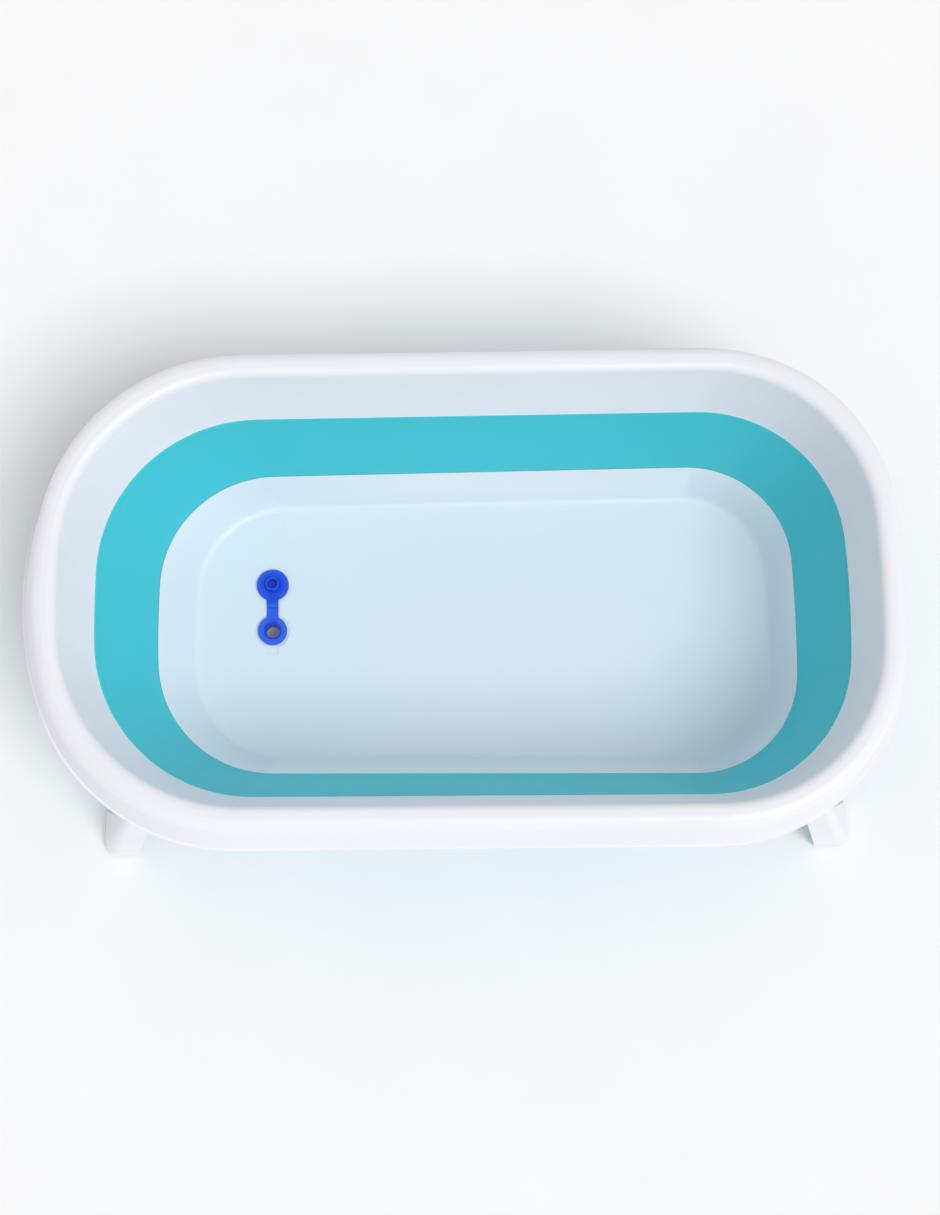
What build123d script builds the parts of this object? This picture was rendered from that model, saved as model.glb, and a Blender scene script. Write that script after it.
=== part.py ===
"""Folding baby bath: a rigid rim and a rigid pan joined by a soft folding band, on four swing-out legs.

Millimetres. +X runs along the bath from the drain end to the foot end, +Z is up and z = 0 is the floor.
The origin is the centre of the bath's footprint. Left is -X, right is +X, front is -Y and back is +Y.
"""

import math
import os
from dataclasses import dataclass, fields, replace

from build123d import *


@dataclass(frozen=True)
class Outline:
    """A plan outline: two nearly straight sides, four corner arcs and two shallow end arcs, all tangent."""

    left: float  # x of the left end
    right: float  # x of the right end
    half: float  # half width at x = 0
    flare: float  # how much the half width grows per mm of x
    corner_left: float
    end_left: float
    corner_right: float
    end_right: float

    def inset(self, gap):
        """The outline a constant distance inside this one, or outside it for a negative gap."""
        return replace(
            self,
            left=self.left + gap,
            right=self.right - gap,
            half=self.half - gap * math.hypot(1, self.flare),
            corner_left=self.corner_left - gap,
            end_left=self.end_left - gap,
            corner_right=self.corner_right - gap,
            end_right=self.end_right - gap,
        )

    def corner_centre(self, side):
        """Centre and radius of the left (-1) or right (+1) back corner, and the end arc's centre."""
        corner = self.corner_right if side > 0 else self.corner_left
        end = self.end_right if side > 0 else self.end_left
        end_centre = self.right - end if side > 0 else self.left + end
        offset = self.half - corner * math.hypot(1, self.flare)
        a = 1 + self.flare**2
        b = 2 * (self.flare * offset - end_centre)
        c = end_centre**2 + offset**2 - (end - corner) ** 2
        x = (-b + side * math.sqrt(b * b - 4 * a * c)) / (2 * a)
        return x, self.flare * x + offset, corner, end_centre

    def half_at(self, x):
        """Half width of the outline at x, on a side or a corner arc."""
        side = 1 if x > 0 else -1
        centre_x, centre_y, corner, _ = self.corner_centre(side)
        if side * (x - centre_x) < 0:
            return self.half + self.flare * x
        return centre_y + math.sqrt(corner**2 - (x - centre_x) ** 2)


# Overall sizes
LENGTH = 820.0
WIDTH = 476.0
RIM_TOP = 230.0

# Heights of the seams and edges
RIM_BEAD_BOTTOM = RIM_TOP - 43.0
BAND_TOP = RIM_TOP - 78.0
BAND_BOTTOM = 68.0
FLOOR_TOP = 28.0


def stepped_in(steps, flare, corners, ends):
    """An outline stepped in from the bath's left end, right end and sides."""
    at_left, at_right, at_side = steps
    return Outline(
        left=-LENGTH / 2 + at_left,
        right=LENGTH / 2 - at_right,
        half=WIDTH / 2 - at_side,
        flare=flare,
        corner_left=corners[0],
        end_left=ends[0],
        corner_right=corners[1],
        end_right=ends[1],
    )


# Plan outlines of the inner skin, from the mouth down, and of the rim's outer edge and crown
MOUTH = stepped_in((36, 26, 34.5), 0.005, (172, 152), (700, 1000))
BAND_UPPER = stepped_in((60, 41, 53), 0.007, (153, 137), (1050, 910))
BAND_LOWER = stepped_in((109, 79, 85.5), 0.012, (115, 102), (1080, 1580))
FLOOR_EDGE = stepped_in((142, 101, 106), 0.014, (93, 84), (1050, 1500))
RIM_EDGE = stepped_in((0, 0, 0), 0.0037, (195, 179), (320, 1800))
CROWN = stepped_in((15, 7, 15.3), 0.0037, (185, 167), (420, 1500))

# Walls, the rim's section and the seams where the band is bonded on
WALL = 3.0
BAND_WALL = 2.6
CROWN_FILLET = 12.0
MOUTH_FILLET = 8.0
BEAD_HEIGHT = 2.6
BEAD_PROUD = 1.4
SEAM_FLANGE = 4.0
SEAM_HEIGHT = 3.0
FLOOR_FILLET = 9.0

# Hanging slot through the skirt at the right end
SLOT_LENGTH = 52.0
SLOT_HEIGHT = 12.0
SLOT_RISE = 8.0  # from the skirt's lower edge to the slot

# Drain, plug ring and plug cap
DRAIN_X = -LENGTH / 2 + 218.5
CAP_DISTANCE = 47.0
SEAT_RADIUS = 17.2
SEAT_DEPTH = 1.2
NOTCH_WIDTH = 11.5
NOTCH_REACH = 24.0
PLUG_FIT = 0.1
NECK_RADIUS = 9.4
SPOUT_WALL = 2.5
SPOUT_LENGTH = 11.0
RING_RADIUS = 14.7
RING_THICKNESS = 3.0
BORE_RADIUS = 7.4
BORE_CHAMFER = 1.6
BARB_LIP = 1.4
BARB_HEIGHT = 2.4
CAP_RADIUS = 16.2
CAP_THICKNESS = 2.4
CAP_REST_GAP = 0.3
STRAP_WIDTH = 11.6
STRAP_THICKNESS = 1.6
STRAP_SPLIT = 0.3
BOSS_ROOT_OVER = 1.0  # boss root radius over the bore's radius
BOSS_FIT = 0.35  # radial clearance of the boss's shoulder in the bore
BOSS_DRAFT = 0.65
BOSS_SHOULDER_HEIGHT = 2.2
BOSS_HEIGHT = 7.0
BOSS_WALL = 1.7
BOSS_FLOOR = 1.2

# Legs: a tapered angle that leans outwards, hung on a pin across a hinge bracket under each corner
PIVOT_Z = RIM_TOP - 54.0
PIVOT_X_RIGHT = LENGTH / 2 - 94.0
PIVOT_X_LEFT = -LENGTH / 2 + 118.0
FOOT_OUT = 68.0  # from the pin out to the foot's end face, along x
FOOT_HALF = WIDTH / 2 - 16.0  # from the bath's centre line to the foot's side face
LEG_LEAN_X = 0.29
LEG_LEAN_Y = 0.11
LEG_WALL = 3.2
FOOT_FLANGES = (33.0, 44.0, 12.0)  # width along the side, width across the end, corner radius
SHANK_FLANGES = (27.0, 12.0, 8.0)
HEAD_FLANGES = (27.0, 8.5, 8.0)
SHANK_Z = PIVOT_Z - 56.0
PAD_THICKNESS = 3.0
PAD_INSET = 1.0
SOLE_THICKNESS = 4.0
KNUCKLE_RADIUS = 10.0
KNUCKLE_INNER = WIDTH / 2 - 52.0  # from the centre line to the knuckle's inner face
KNUCKLE_GAP = 0.35
PIN_RADIUS = 2.5
PIN_FIT = 0.05
PIN_HEAD_RADIUS = 4.5
PIN_HEAD = 1.6
PIN_TAIL_RADIUS = 3.4
PIN_TAIL = 1.2
EAR_THICKNESS = 3.4
EAR_RADIUS = 10.5
BRACKET_TOP = RIM_TOP - 18.0
BRACKET_PLATE = 7.0
BRACKET_HALF = 28.0
BRACKET_GAP = 0.3
SCREW_RADIUS = 1.6
SCREW_FIT = 0.05
SCREW_HEAD_RADIUS = 3.2
SCREW_HEAD = 2.2
SCREW_OFFSET = 20.0
SCREW_BITE = 9.0
SCREW_TIP_GAP = 0.5
POST_RADIUS = 4.6

FLOOR_BOTTOM = FLOOR_TOP - WALL
SEAT_Z = FLOOR_TOP - SEAT_DEPTH
SPOUT_BOTTOM = FLOOR_BOTTOM - SPOUT_LENGTH
RING_TOP = SEAT_Z + RING_THICKNESS
CAP_BOTTOM = FLOOR_TOP + CAP_REST_GAP
CAP_FACE = CAP_BOTTOM + CAP_THICKNESS
HINGE_Y = CAP_DISTANCE / 2
BOSS_SHOULDER = BORE_RADIUS - BOSS_FIT
CHANNEL_TOP = RIM_TOP - WALL
SKIRT_LINE = RIM_EDGE.inset(BEAD_PROUD)
PLATE_Z = BRACKET_TOP - BRACKET_PLATE
KNUCKLE_OUTER = FOOT_HALF - LEG_LEAN_Y * (PIVOT_Z - EAR_RADIUS)
EAR_INNER = KNUCKLE_INNER - KNUCKLE_GAP - EAR_THICKNESS
EAR_OUTER = KNUCKLE_OUTER + KNUCKLE_GAP + EAR_THICKNESS
PIVOT_X = {"left": PIVOT_X_LEFT, "right": PIVOT_X_RIGHT}
OUTWARD = {"left": -1, "right": 1}


def outline_sketch(z, outline):
    """The area inside an outline, at height z."""
    lx, ly, lr, lc = outline.corner_centre(-1)
    rx, ry, rr, rc = outline.corner_centre(1)
    side_angle = math.pi / 2 + math.atan(outline.flare)
    right_angle = math.atan2(ry, rx - rc)
    left_angle = math.atan2(ly, lx - lc)

    def on_corner(x, y, radius, angle):
        return x + radius * math.cos(angle), y + radius * math.sin(angle)

    back = [
        on_corner(lx, ly, lr, left_angle),
        on_corner(lx, ly, lr, (left_angle + side_angle) / 2),
        on_corner(lx, ly, lr, side_angle),
        on_corner(rx, ry, rr, side_angle),
        on_corner(rx, ry, rr, (side_angle + right_angle) / 2),
        on_corner(rx, ry, rr, right_angle),
    ]
    front = [(x, -y) for x, y in back]
    with BuildSketch(Plane.XY.offset(z)) as area:
        with BuildLine():
            ThreePointArc(back[0], back[1], back[2])
            Line(back[2], back[3])
            ThreePointArc(back[3], back[4], back[5])
            ThreePointArc(back[5], (outline.right, 0), front[5])
            ThreePointArc(front[5], front[4], front[3])
            Line(front[3], front[2])
            ThreePointArc(front[2], front[1], front[0])
            ThreePointArc(front[0], (outline.left, 0), back[0])
        make_face()
    return area.sketch


def between(z, low_z, low, high_z, high):
    """The outline at height z on the straight wall from one outline to another."""
    share = (z - low_z) / (high_z - low_z)
    mixed = {}
    for field in fields(Outline):
        start = getattr(low, field.name)
        mixed[field.name] = start + share * (getattr(high, field.name) - start)
    return Outline(**mixed)


def frustum(low_z, low, high_z, high):
    """The solid between two outlines."""
    with BuildPart() as solid:
        loft([outline_sketch(low_z, low), outline_sketch(high_z, high)], ruled=True)
    return solid.part


def make_room(gap):
    """The open channel under the rim and the space below it, a gap clear of the skirt and the wall."""
    skirt = SKIRT_LINE.inset(WALL + gap)
    with BuildPart() as room:
        add(frustum(BAND_TOP, skirt, RIM_BEAD_BOTTOM, skirt))
        add(frustum(RIM_BEAD_BOTTOM, skirt, CHANNEL_TOP, CROWN.inset(WALL + gap)))
        add(
            frustum(BAND_TOP, BAND_UPPER.inset(-WALL - gap), RIM_TOP, MOUTH.inset(-WALL - gap)),
            mode=Mode.SUBTRACT,
        )
    return room.part


def channel_middle(x):
    """|y| half way between the wall and the skirt at the bracket's height."""
    wall = between(BRACKET_TOP, BAND_TOP, BAND_UPPER, RIM_TOP, MOUTH).inset(-WALL)
    skirt = between(
        BRACKET_TOP, RIM_BEAD_BOTTOM, SKIRT_LINE.inset(WALL), CHANNEL_TOP, CROWN.inset(WALL)
    )
    return (wall.half_at(x) + skirt.half_at(x)) / 2


def screw_places():
    """Plan positions of the bracket screws, which are also those of the posts above them."""
    places = []
    for pivot in PIVOT_X.values():
        for x in (pivot - SCREW_OFFSET, pivot + SCREW_OFFSET):
            y = channel_middle(x)
            places += [(x, y), (x, -y)]
    return places


def make_rim_shell():
    with BuildPart() as channel:
        add(make_room(0))
        roof = channel.faces().sort_by(Axis.Z)[-1]
        fillet(roof.outer_wire().edges(), CROWN_FILLET - WALL)
        roof = channel.faces().sort_by(Axis.Z)[-1]
        fillet(roof.inner_wires()[0].edges(), MOUTH_FILLET - WALL)

    seam_z = BAND_TOP + SEAM_HEIGHT
    seam = between(seam_z, BAND_TOP, BAND_UPPER, RIM_TOP, MOUTH)
    proud = -WALL - SEAM_FLANGE
    with BuildPart() as rim_shell:
        add(frustum(RIM_BEAD_BOTTOM, SKIRT_LINE, RIM_TOP, CROWN))
        fillet(rim_shell.faces().sort_by(Axis.Z)[-1].edges(), CROWN_FILLET)
        extrude(outline_sketch(RIM_BEAD_BOTTOM, RIM_EDGE), amount=BEAD_HEIGHT)
        add(channel.part, mode=Mode.SUBTRACT)
        add(frustum(BAND_TOP, BAND_UPPER.inset(-WALL), RIM_TOP, MOUTH.inset(-WALL)))
        add(frustum(BAND_TOP, BAND_UPPER.inset(proud), seam_z, seam.inset(proud)))
        with BuildSketch(Plane.XY.offset(BRACKET_TOP)):
            with Locations(*screw_places()):
                Circle(POST_RADIUS)
        extrude(amount=CHANNEL_TOP + WALL / 2 - BRACKET_TOP)
        with BuildSketch(Plane.XY.offset(BRACKET_TOP)):
            with Locations(*screw_places()):
                Circle(SCREW_RADIUS + SCREW_FIT)
        extrude(amount=SCREW_BITE + SCREW_TIP_GAP, mode=Mode.SUBTRACT)
        add(frustum(BAND_TOP, BAND_UPPER, RIM_TOP, MOUTH), mode=Mode.SUBTRACT)
        crown = rim_shell.faces().filter_by(GeomType.PLANE).sort_by(Axis.Z)[-1]
        fillet(crown.inner_wires()[0].edges(), MOUTH_FILLET)
        slot_z = RIM_BEAD_BOTTOM + SLOT_RISE + SLOT_HEIGHT / 2
        with BuildSketch(Plane.YZ.offset(MOUTH.right)):
            with Locations((0, slot_z)):
                SlotOverall(SLOT_LENGTH, SLOT_HEIGHT)
        extrude(amount=RIM_EDGE.right - MOUTH.right, mode=Mode.SUBTRACT)
    return rim_shell.part


def make_folding_band():
    with BuildPart() as folding_band:
        add(frustum(BAND_BOTTOM, BAND_LOWER.inset(-BAND_WALL), BAND_TOP, BAND_UPPER.inset(-BAND_WALL)))
        add(frustum(BAND_BOTTOM, BAND_LOWER, BAND_TOP, BAND_UPPER), mode=Mode.SUBTRACT)
    return folding_band.part


def make_floor_pan():
    proud = -WALL - SEAM_FLANGE
    seam_z = BAND_BOTTOM - SEAM_HEIGHT
    seam = between(seam_z, FLOOR_TOP, FLOOR_EDGE, BAND_BOTTOM, BAND_LOWER)
    with BuildPart() as basin:
        add(frustum(FLOOR_TOP, FLOOR_EDGE, BAND_BOTTOM, BAND_LOWER))
        fillet(basin.faces().sort_by(Axis.Z)[0].edges(), FLOOR_FILLET)
    with BuildPart() as floor_pan:
        add(frustum(FLOOR_BOTTOM, FLOOR_EDGE.inset(-WALL), BAND_BOTTOM, BAND_LOWER.inset(-WALL)))
        fillet(floor_pan.faces().sort_by(Axis.Z)[0].edges(), FLOOR_FILLET + WALL)
        add(frustum(seam_z, seam.inset(proud), BAND_BOTTOM, BAND_LOWER.inset(proud)))
        with Locations((DRAIN_X, 0, FLOOR_BOTTOM)):
            Cylinder(
                NECK_RADIUS + PLUG_FIT + SPOUT_WALL,
                SPOUT_LENGTH,
                align=(Align.CENTER, Align.CENTER, Align.MAX),
            )
        add(basin.part, mode=Mode.SUBTRACT)
        with BuildSketch(Plane.XY.offset(FLOOR_TOP)):
            with Locations((DRAIN_X, 0)):
                Circle(SEAT_RADIUS)
            with Locations((DRAIN_X, -NOTCH_REACH / 2)):
                Rectangle(NOTCH_WIDTH, NOTCH_REACH)
        extrude(amount=-SEAT_DEPTH, mode=Mode.SUBTRACT)
        with Locations((DRAIN_X, 0, FLOOR_TOP)):
            Hole(NECK_RADIUS + PLUG_FIT, FLOOR_TOP - SPOUT_BOTTOM)
    return floor_pan.part


def make_drain_plug_ring():
    """A grommet through the pan's spout, with the ring's half of the strap."""
    with BuildPart() as drain_plug_ring:
        with BuildSketch(Plane.XZ):
            with BuildLine():
                Polyline(
                    (BORE_RADIUS + BORE_CHAMFER, RING_TOP),
                    (RING_RADIUS, RING_TOP),
                    (RING_RADIUS, SEAT_Z),
                    (NECK_RADIUS, SEAT_Z),
                    (NECK_RADIUS, SPOUT_BOTTOM),
                    (NECK_RADIUS + BARB_LIP, SPOUT_BOTTOM),
                    (NECK_RADIUS, SPOUT_BOTTOM - BARB_HEIGHT),
                    (BORE_RADIUS, SPOUT_BOTTOM - BARB_HEIGHT),
                    (BORE_RADIUS, RING_TOP - BORE_CHAMFER),
                    close=True,
                )
            make_face()
        revolve(axis=Axis.Z)
        reach = HINGE_Y - STRAP_SPLIT / 2 - (BORE_RADIUS + BORE_CHAMFER)
        with BuildSketch(Plane.XY.offset(RING_TOP)):
            with Locations((0, BORE_RADIUS + BORE_CHAMFER + reach / 2)):
                Rectangle(STRAP_WIDTH, reach)
        extrude(amount=-STRAP_THICKNESS)
    return drain_plug_ring.part.moved(Location((DRAIN_X, 0, 0)))


def make_drain_plug_cap():
    """The cap as it lies open, underside up, with its half of the strap."""
    root = BORE_RADIUS + BOSS_ROOT_OVER
    tip = BOSS_SHOULDER - BOSS_DRAFT
    hollow = tip - BOSS_WALL + BOSS_DRAFT
    with BuildPart() as drain_plug_cap:
        with BuildSketch(Plane.XZ):
            with BuildLine():
                Polyline(
                    (0, CAP_BOTTOM),
                    (CAP_RADIUS, CAP_BOTTOM),
                    (CAP_RADIUS, CAP_FACE),
                    (root, CAP_FACE),
                    (BOSS_SHOULDER, CAP_FACE + BOSS_SHOULDER_HEIGHT),
                    (tip, CAP_FACE + BOSS_HEIGHT),
                    (hollow, CAP_FACE + BOSS_HEIGHT),
                    (hollow, CAP_BOTTOM + BOSS_FLOOR),
                    (0, CAP_BOTTOM + BOSS_FLOOR),
                    close=True,
                )
            make_face()
        revolve(axis=Axis.Z)
        reach = CAP_DISTANCE - HINGE_Y - STRAP_SPLIT / 2 - root
        with BuildSketch(Plane.XY.offset(CAP_FACE)):
            with Locations((0, -root - reach / 2)):
                Rectangle(STRAP_WIDTH, reach)
        extrude(amount=-STRAP_THICKNESS)
    return drain_plug_cap.part.moved(Location((DRAIN_X, CAP_DISTANCE, 0)))


def leg_section(end, z, flanges):
    """The leg's angle at height z, at the back corner of one end."""
    front, side, corner = flanges
    u = FOOT_OUT - LEG_LEAN_X * z
    v = FOOT_HALF - LEG_LEAN_Y * z
    inner_u = u - LEG_WALL
    inner_v = v - LEG_WALL
    bend_u = u - corner
    bend_v = v - corner
    near_u = u - front
    near_v = v - side
    out = OUTWARD[end]

    def at(along, across):
        return PIVOT_X[end] + out * along, across

    with BuildSketch(Plane.XY.offset(z)) as section:
        with BuildLine():
            Line(at(near_u, v), at(bend_u, v))
            RadiusArc(at(bend_u, v), at(u, bend_v), out * (u - bend_u))
            Polyline(at(u, bend_v), at(u, near_v), at(inner_u, near_v), at(inner_u, bend_v))
            RadiusArc(at(inner_u, bend_v), at(bend_u, inner_v), -out * (inner_u - bend_u))
            Polyline(at(bend_u, inner_v), at(near_u, inner_v), at(near_u, v))
        make_face()
    return section.sketch


def make_leg(end):
    """The back leg of one end: a tapered angle with a sole at the foot and a knuckle at the pin."""
    pivot = PIVOT_X[end]
    out = OUTWARD[end]
    sections = [
        leg_section(end, PAD_THICKNESS, FOOT_FLANGES),
        leg_section(end, SHANK_Z, SHANK_FLANGES),
        leg_section(end, PIVOT_Z, HEAD_FLANGES),
    ]
    u = FOOT_OUT - LEG_LEAN_X * (PAD_THICKNESS + SOLE_THICKNESS) - LEG_WALL / 2
    v = FOOT_HALF - LEG_LEAN_Y * (PAD_THICKNESS + SOLE_THICKNESS) - LEG_WALL / 2
    front, side, corner = FOOT_FLANGES
    with BuildPart() as leg:
        loft(sections, ruled=True)
        with BuildSketch(Plane.XY.offset(PAD_THICKNESS)):
            with BuildLine():
                Polyline(
                    (pivot + out * (u - front + LEG_WALL), v),
                    (pivot + out * (u - corner), v),
                    (pivot + out * u, v - corner),
                    (pivot + out * u, v - side + LEG_WALL),
                    close=True,
                )
            make_face()
        extrude(amount=SOLE_THICKNESS)
        with BuildSketch(Plane.XZ.offset(-KNUCKLE_INNER)):
            with Locations((pivot, PIVOT_Z)):
                Circle(KNUCKLE_RADIUS)
        extrude(amount=KNUCKLE_INNER - KNUCKLE_OUTER)
        with BuildSketch(Plane.XZ):
            with Locations((pivot, PIVOT_Z)):
                Circle(PIN_RADIUS + PIN_FIT)
        extrude(amount=-RIM_EDGE.half, mode=Mode.SUBTRACT)
    return leg.part


def make_foot_pad(end):
    """The soft pad under the back leg of one end."""
    pivot = PIVOT_X[end]
    out = OUTWARD[end]
    front, side, corner = FOOT_FLANGES
    u = FOOT_OUT - PAD_INSET
    v = FOOT_HALF - PAD_INSET
    with BuildPart() as pad:
        with BuildSketch(Plane.XY):
            with BuildLine():
                Polyline(
                    (pivot + out * (u - front + LEG_WALL), v),
                    (pivot + out * (u - corner), v),
                    (pivot + out * u, v - corner),
                    (pivot + out * u, v - side + LEG_WALL),
                    close=True,
                )
            make_face()
        extrude(amount=PAD_THICKNESS)
    return pad.part


def make_hinge_bracket(end, room):
    """The clevis of the back leg of one end, cut to fit between the wall and the skirt."""
    pivot = PIVOT_X[end]
    with BuildPart() as bracket:
        with BuildSketch(Plane.XY.offset(PLATE_Z)):
            with Locations((pivot, channel_middle(pivot))):
                Rectangle(2 * BRACKET_HALF, 3 * BRACKET_HALF)
        extrude(amount=BRACKET_PLATE)
        for inner in (EAR_INNER, EAR_OUTER - EAR_THICKNESS):
            with BuildSketch(Plane.XZ.offset(-inner)):
                with Locations((pivot, PIVOT_Z)):
                    Circle(EAR_RADIUS)
                with Locations((pivot, (PIVOT_Z + BRACKET_TOP) / 2)):
                    Rectangle(2 * EAR_RADIUS, BRACKET_TOP - PIVOT_Z)
            extrude(amount=-EAR_THICKNESS)
        add(room, mode=Mode.INTERSECT)
        with BuildSketch(Plane.XZ):
            with Locations((pivot, PIVOT_Z)):
                Circle(PIN_RADIUS + PIN_FIT)
        extrude(amount=-RIM_EDGE.half, mode=Mode.SUBTRACT)
        with BuildSketch(Plane.XY.offset(PLATE_Z)):
            with Locations(*screw_places()):
                Circle(SCREW_RADIUS + SCREW_FIT)
        extrude(amount=BRACKET_PLATE, mode=Mode.SUBTRACT)
    return bracket.part


def make_hinge_pin(end):
    with BuildPart() as pin:
        with BuildSketch(Plane.XY):
            with BuildLine():
                Polyline(
                    (0, EAR_INNER - PIN_TAIL),
                    (PIN_TAIL_RADIUS, EAR_INNER - PIN_TAIL),
                    (PIN_TAIL_RADIUS, EAR_INNER),
                    (PIN_RADIUS, EAR_INNER),
                    (PIN_RADIUS, EAR_OUTER),
                    (PIN_HEAD_RADIUS, EAR_OUTER),
                    (PIN_HEAD_RADIUS, EAR_OUTER + PIN_HEAD),
                    (0, EAR_OUTER + PIN_HEAD),
                    close=True,
                )
            make_face()
        revolve(axis=Axis.Y)
    return pin.part.moved(Location((PIVOT_X[end], 0, PIVOT_Z)))


def make_bracket_screws():
    with BuildPart() as bracket_screws:
        with BuildSketch(Plane.XY.offset(PLATE_Z - SCREW_HEAD)):
            with Locations(*screw_places()):
                Circle(SCREW_HEAD_RADIUS)
        extrude(amount=SCREW_HEAD)
        with BuildSketch(Plane.XY.offset(PLATE_Z)):
            with Locations(*screw_places()):
                Circle(SCREW_RADIUS)
        extrude(amount=BRACKET_PLATE + SCREW_BITE)
    return bracket_screws.part


def save(part, name):
    with BuildPart() as node:
        add(part)
    node.part.label = name
    export_step(node.part, f"parts/{name}.step")


def save_pair(part, name, end):
    """Writes the back piece of one end and its mirror image at the front."""
    save(part, f"{name}_back_{end}")
    save(mirror(part, about=Plane.XZ), f"{name}_front_{end}")


os.makedirs("parts", exist_ok=True)
save(make_rim_shell(), "rim_shell")
save(make_folding_band(), "folding_band")
save(make_floor_pan(), "floor_pan")
save(make_drain_plug_ring(), "drain_plug_ring")
save(make_drain_plug_cap(), "drain_plug_cap")
save(make_bracket_screws(), "bracket_screws")
bracket_room = make_room(BRACKET_GAP)
for end_name in PIVOT_X:
    save_pair(make_leg(end_name), "leg", end_name)
    save_pair(make_foot_pad(end_name), "foot_pad", end_name)
    save_pair(make_hinge_bracket(end_name, bracket_room), "hinge_bracket", end_name)
    save_pair(make_hinge_pin(end_name), "hinge_pin", end_name)
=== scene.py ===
import math

import bpy
from mathutils import Matrix, Vector


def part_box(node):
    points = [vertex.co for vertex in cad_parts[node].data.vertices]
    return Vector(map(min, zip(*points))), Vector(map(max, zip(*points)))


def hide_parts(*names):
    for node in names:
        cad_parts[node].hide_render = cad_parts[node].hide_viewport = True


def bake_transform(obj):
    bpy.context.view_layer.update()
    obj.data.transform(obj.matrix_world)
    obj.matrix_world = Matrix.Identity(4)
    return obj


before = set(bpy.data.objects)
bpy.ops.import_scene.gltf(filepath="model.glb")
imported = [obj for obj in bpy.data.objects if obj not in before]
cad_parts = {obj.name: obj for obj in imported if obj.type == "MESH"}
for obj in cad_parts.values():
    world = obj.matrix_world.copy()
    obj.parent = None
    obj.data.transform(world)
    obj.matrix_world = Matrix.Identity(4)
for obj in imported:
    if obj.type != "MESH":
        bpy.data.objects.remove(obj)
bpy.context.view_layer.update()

# The band's two seams: half width, flare, corner radii and end arc radii, left end then right end, in metres
UPPER_HALF = 0.185
UPPER_FLARE = 0.007
UPPER_CORNERS = (0.153, 0.137)
UPPER_ENDS = (1.050, 0.910)
LOWER_LEFT = -0.301
LOWER_RIGHT = 0.331
LOWER_HALF = 0.1525
LOWER_FLARE = 0.012
LOWER_CORNERS = (0.115, 0.102)
LOWER_ENDS = (1.080, 1.580)
BAND_WALL = 0.0026
BAND_ROWS = 40
CORNER_STEPS = 28
END_STEPS = 10
SIDE_STEPS = 24
LIP_WIDTH = 0.004
LIP_DEPTH = 0.0008
CREASE_AT = 0.010
CREASE_WIDTH = 0.002
CREASE_DEPTH = 0.0006

# Camera: a long lens, from a little in front of straight down
CAMERA_PLACE = (-0.02096, -0.4176, 2.00823)
CAMERA_TURN = (
    (0.99982606, 0.01188553, -0.01437328),
    (-0.01471864, 0.97613484, -0.21666598),
    (0.01145506, 0.21683984, 0.97613998),
)
LENS = 59.27
SENSOR_WIDTH = 36

# Light: an even white world, and a broad key lamp from the front right
WORLD_LEVEL = 0.62
KEY_LEVEL = 1.45
KEY_FROM = (0.55, -0.62, 1.25)
KEY_SPREAD = 28  # degrees
FLOOR_SIZE = 30

# Moulded surfaces
SPECULAR = 0.45
DRIFT_SCALE = 7
DRIFT_TONES = (0.965, 1.02)
# Pointiness range and strength of the painted highlight on convex edges
EDGE_RANGE = (0.52, 0.60)
EDGE_HIGHLIGHT = 0.5
HANDLING_SCALE = 34
GLOSS_SPREAD = (-0.06, 0.08)
GRAIN_STRENGTH = 0.35


def srgb(red, green, blue):
    """A colour given as 0 to 255 sRGB, as the linear colour that a shader takes."""
    linear = []
    for value in (red, green, blue):
        share = value / 255
        linear.append(share / 12.92 if share <= 0.04045 else ((share + 0.055) / 1.055) ** 2.4)
    return (*linear, 1)


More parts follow.
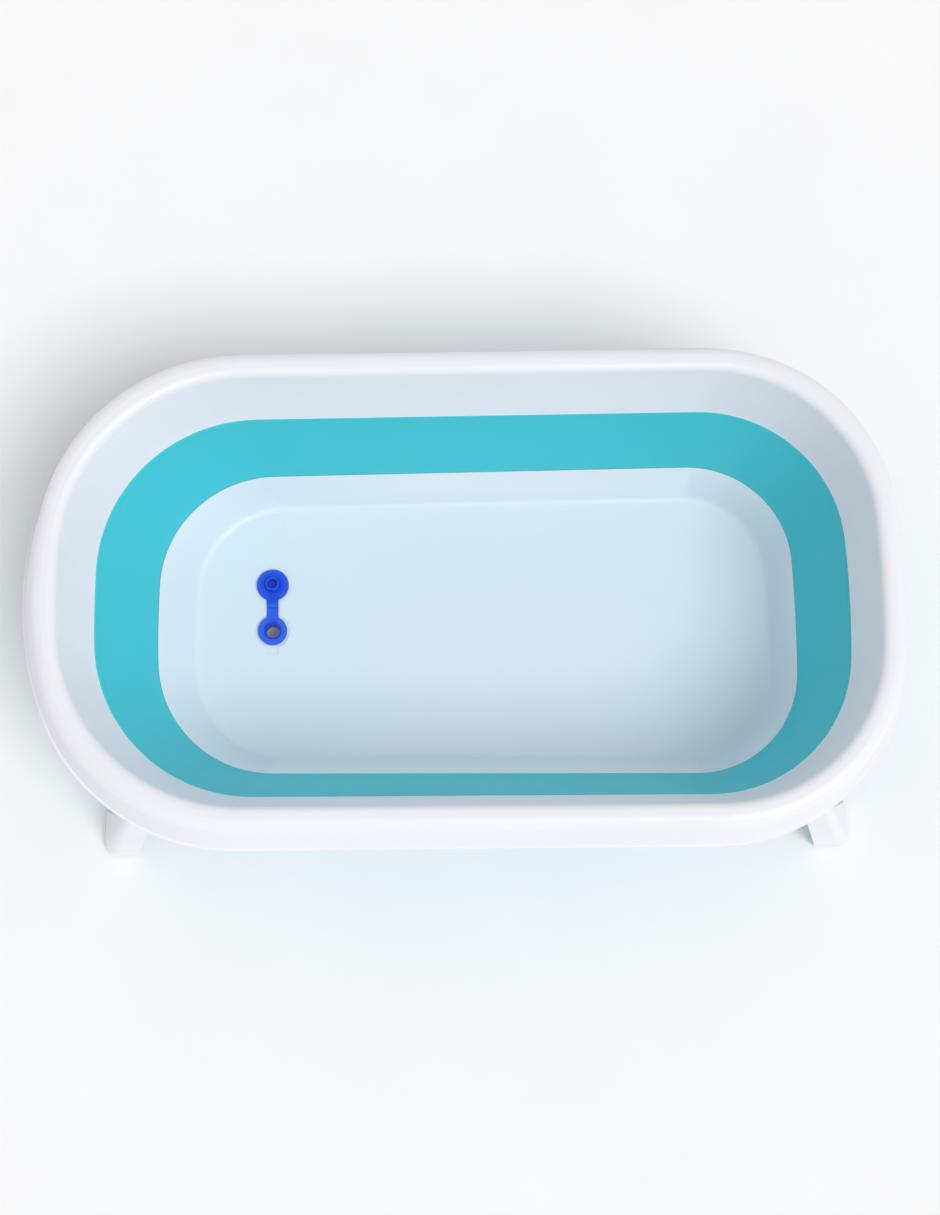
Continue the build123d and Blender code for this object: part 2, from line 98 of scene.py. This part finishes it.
def moulded(name, colour, edge_highlight, roughness, grain, grain_depth):
    """A moulded plastic or elastomer: drifting tone, uneven gloss, fine grain, and convex edges painted
    paler as a painted highlight.
    """
    material = bpy.data.materials.new(name)
    material.use_nodes = True
    nodes = material.node_tree.nodes
    link = material.node_tree.links.new
    shader = nodes["Principled BSDF"]
    shader.inputs["Specular IOR Level"].default_value = SPECULAR
    place = nodes.new("ShaderNodeTexCoord")

    def noise(scale, detail):
        node = nodes.new("ShaderNodeTexNoise")
        node.inputs["Scale"].default_value = scale
        node.inputs["Detail"].default_value = detail
        link(place.outputs["Object"], node.inputs["Vector"])
        return node

    drift = noise(DRIFT_SCALE, 4)
    tone = nodes.new("ShaderNodeMapRange")
    tone.inputs["To Min"].default_value = DRIFT_TONES[0]
    tone.inputs["To Max"].default_value = DRIFT_TONES[1]
    link(drift.outputs["Fac"], tone.inputs["Value"])
    tinted = nodes.new("ShaderNodeVectorMath")
    tinted.operation = "SCALE"
    tinted.inputs[0].default_value = colour[:3]
    link(tone.outputs["Result"], tinted.inputs["Scale"])
    # Painted highlight: convex edges, found by pointiness, are mixed towards the paler highlight colour
    edge = nodes.new("ShaderNodeNewGeometry")
    highlight_mask = nodes.new("ShaderNodeMapRange")
    highlight_mask.inputs["From Min"].default_value = EDGE_RANGE[0]
    highlight_mask.inputs["From Max"].default_value = EDGE_RANGE[1]
    highlight_mask.inputs["To Max"].default_value = EDGE_HIGHLIGHT
    link(edge.outputs["Pointiness"], highlight_mask.inputs["Value"])
    mixed = nodes.new("ShaderNodeMix")
    mixed.data_type = "RGBA"
    mixed.inputs["B"].default_value = edge_highlight
    link(highlight_mask.outputs["Result"], mixed.inputs["Factor"])
    link(tinted.outputs["Vector"], mixed.inputs["A"])
    link(mixed.outputs["Result"], shader.inputs["Base Color"])

    handled = noise(HANDLING_SCALE, 6)
    gloss = nodes.new("ShaderNodeMapRange")
    gloss.inputs["To Min"].default_value = roughness + GLOSS_SPREAD[0]
    gloss.inputs["To Max"].default_value = roughness + GLOSS_SPREAD[1]
    link(handled.outputs["Fac"], gloss.inputs["Value"])
    link(gloss.outputs["Result"], shader.inputs["Roughness"])

    texture = noise(grain, 3)
    bump = nodes.new("ShaderNodeBump")
    bump.inputs["Strength"].default_value = GRAIN_STRENGTH
    bump.inputs["Distance"].default_value = grain_depth
    link(texture.outputs["Fac"], bump.inputs["Height"])
    link(bump.outputs["Normal"], shader.inputs["Normal"])
    return material


def steel(name):
    """Plated steel: a metal with the same drift and fine grain as the moulded surfaces."""
    # The second colour is the paler colour of the painted highlight on edges
    material = moulded(name, srgb(176, 178, 182), srgb(210, 211, 214), 0.34, 900, 0.00003)
    material.node_tree.nodes["Principled BSDF"].inputs["Metallic"].default_value = 1
    return material


def corner_centre(left, right, half, flare, corner, end, side):
    """Centre of a back corner arc that is tangent to the side line and the end arc, and the end's centre."""
    end_centre = right - end if side > 0 else left + end
    offset = half - corner * math.hypot(1, flare)
    a = 1 + flare**2
    b = 2 * (flare * offset - end_centre)
    c = end_centre**2 + offset**2 - (end - corner) ** 2
    x = (-b + side * math.sqrt(b * b - 4 * a * c)) / (2 * a)
    return x, flare * x + offset, end_centre


def outline(left, right, half, flare, corners, ends):
    """Points round an outline, anticlockwise from the middle of the right end."""
    lx, ly, lc = corner_centre(left, right, half, flare, corners[0], ends[0], -1)
    rx, ry, rc = corner_centre(left, right, half, flare, corners[1], ends[1], 1)
    side = math.pi / 2 + math.atan(flare)
    right_turn = math.atan2(ry, rx - rc)
    left_turn = math.atan2(ly, lx - lc)
    back = []

    def arc(x, y, radius, start, stop, steps):
        for step in range(steps):
            angle = start + (stop - start) * step / steps
            back.append((x + radius * math.cos(angle), y + radius * math.sin(angle)))

    arc(rc, 0, ends[1], 0, right_turn, END_STEPS)
    arc(rx, ry, corners[1], right_turn, side, CORNER_STEPS)
    for step in range(SIDE_STEPS):
        share = step / SIDE_STEPS
        start_x = rx + corners[1] * math.cos(side)
        stop_x = lx + corners[0] * math.cos(side)
        x = start_x + (stop_x - start_x) * share
        back.append((x, half + flare * x))
    arc(lx, ly, corners[0], side, left_turn, CORNER_STEPS)
    arc(lc, 0, ends[0], left_turn, math.pi, END_STEPS)
    back.append((left, 0))
    return back + [(x, -y) for x, y in back[-2:0:-1]]


def make_band():
    """The folding band: one soft wall, with a lip under its top seam and a crease above its bottom seam."""
    low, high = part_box("folding_band")
    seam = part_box("floor_pan")[1].z
    left = low.x + BAND_WALL
    right = high.x - BAND_WALL
    top = outline(left, right, UPPER_HALF, UPPER_FLARE, UPPER_CORNERS, UPPER_ENDS)
    bottom = outline(LOWER_LEFT, LOWER_RIGHT, LOWER_HALF, LOWER_FLARE, LOWER_CORNERS, LOWER_ENDS)
    count = len(top)

    def relief(z):
        """How far the inner skin stands in at the lip, or out at the crease."""
        lip = LIP_DEPTH * max(0, 1 - abs(high.z - LIP_WIDTH - z) / (LIP_WIDTH / 2))
        crease = CREASE_DEPTH * max(0, 1 - abs(seam + CREASE_AT - z) / CREASE_WIDTH)
        return lip - crease

    points = []
    for skin in (0, 1):
        for row in range(BAND_ROWS + 1):
            share = row / BAND_ROWS
            z = seam + (high.z - seam) * share
            for index in range(count):
                x = bottom[index][0] + (top[index][0] - bottom[index][0]) * share
                y = bottom[index][1] + (top[index][1] - bottom[index][1]) * share
                away = Vector((x, y)).normalized()
                out = BAND_WALL if skin else -relief(z)
                points.append((x + away.x * out, y + away.y * out, z))
    faces = []
    layer = (BAND_ROWS + 1) * count
    for row in range(BAND_ROWS):
        for index in range(count):
            after = (index + 1) % count
            a = row * count + index
            b = row * count + after
            faces.append((b, a, a + count, b + count))
            faces.append((layer + a, layer + b, layer + b + count, layer + a + count))
    for index in range(count):
        after = (index + 1) % count
        last = BAND_ROWS * count
        faces.append((index, after, layer + after, layer + index))
        faces.append((last + after, last + index, layer + last + index, layer + last + after))
    mesh = bpy.data.meshes.new("band")
    mesh.from_pydata(points, [], faces)
    mesh.validate()
    mesh.shade_smooth()
    band = bpy.data.objects.new("soft_band", mesh)
    bpy.context.scene.collection.objects.link(band)
    mesh.materials.append(band_material)
    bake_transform(band)
    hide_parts("folding_band")


def finish_node(name, material):
    """Gives a CAD node its finish."""
    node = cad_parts[name]
    if not node.material_slots:
        node.data.materials.append(material)
    for slot in node.material_slots:
        slot.link = "OBJECT"
        slot.material = material


# Each second colour is the paler colour painted on convex edges as a painted highlight
rim_material = moulded("rim_plastic", srgb(240, 240, 247), srgb(250, 250, 252), 0.34, 1600, 0.00004)
band_material = moulded("band_elastomer", srgb(62, 200, 214), srgb(120, 222, 230), 0.42, 1100, 0.00005)
pan_material = moulded("pan_plastic", srgb(222, 234, 243), srgb(240, 246, 250), 0.36, 1500, 0.00004)
plug_material = moulded("plug_silicone", srgb(0, 70, 216), srgb(60, 120, 235), 0.3, 900, 0.00003)
pad_material = moulded("pad_elastomer", srgb(150, 158, 164), srgb(180, 186, 190), 0.6, 1200, 0.00008)
bracket_material = moulded("bracket_plastic", srgb(230, 231, 236), srgb(242, 242, 245), 0.42, 1300, 0.00005)
steel_material = steel("plated_steel")

FINISHES = {
    "rim_shell": rim_material,
    "leg_": rim_material,
    "floor_pan": pan_material,
    "drain_plug": plug_material,
    "foot_pad": pad_material,
    "hinge_bracket": bracket_material,
    "hinge_pin": steel_material,
    "bracket_screws": steel_material,
}
for node_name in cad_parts:
    for start, finish in FINISHES.items():
        if node_name.startswith(start):
            finish_node(node_name, finish)
make_band()


def make_floor():
    """A white floor that keeps the bath's soft shadow, with a faint stone texture."""
    bpy.ops.mesh.primitive_plane_add(size=FLOOR_SIZE, location=(0, 0, 0))
    floor = bpy.context.object
    floor.name = "studio_floor"
    # The second colour is the painted edge highlight, which only touches the floor's far border
    stone = moulded("floor_white", srgb(250, 250, 251), srgb(252, 252, 252), 0.9, 60, 0.0004)
    floor.data.materials.append(stone)


def make_lights():
    world = bpy.data.worlds.new("studio")
    bpy.context.scene.world = world
    world.use_nodes = True
    background = world.node_tree.nodes["Background"]
    background.inputs["Color"].default_value = (1, 1, 1, 1)
    background.inputs["Strength"].default_value = WORLD_LEVEL
    key = bpy.data.lights.new("key", "SUN")
    key.energy = KEY_LEVEL
    key.angle = math.radians(KEY_SPREAD)
    lamp = bpy.data.objects.new("key", key)
    lamp.rotation_euler = Vector(KEY_FROM).to_track_quat("Z", "Y").to_euler()
    bpy.context.scene.collection.objects.link(lamp)


def make_camera():
    data = bpy.data.cameras.new("camera")
    data.lens = LENS
    data.sensor_width = SENSOR_WIDTH
    camera = bpy.data.objects.new("camera", data)
    camera.matrix_world = Matrix.Translation(CAMERA_PLACE) @ Matrix(CAMERA_TURN).to_4x4()
    bpy.context.scene.collection.objects.link(camera)
    bpy.context.scene.camera = camera


make_floor()
make_lights()
make_camera()
bpy.context.scene.view_settings.view_transform = "Standard"
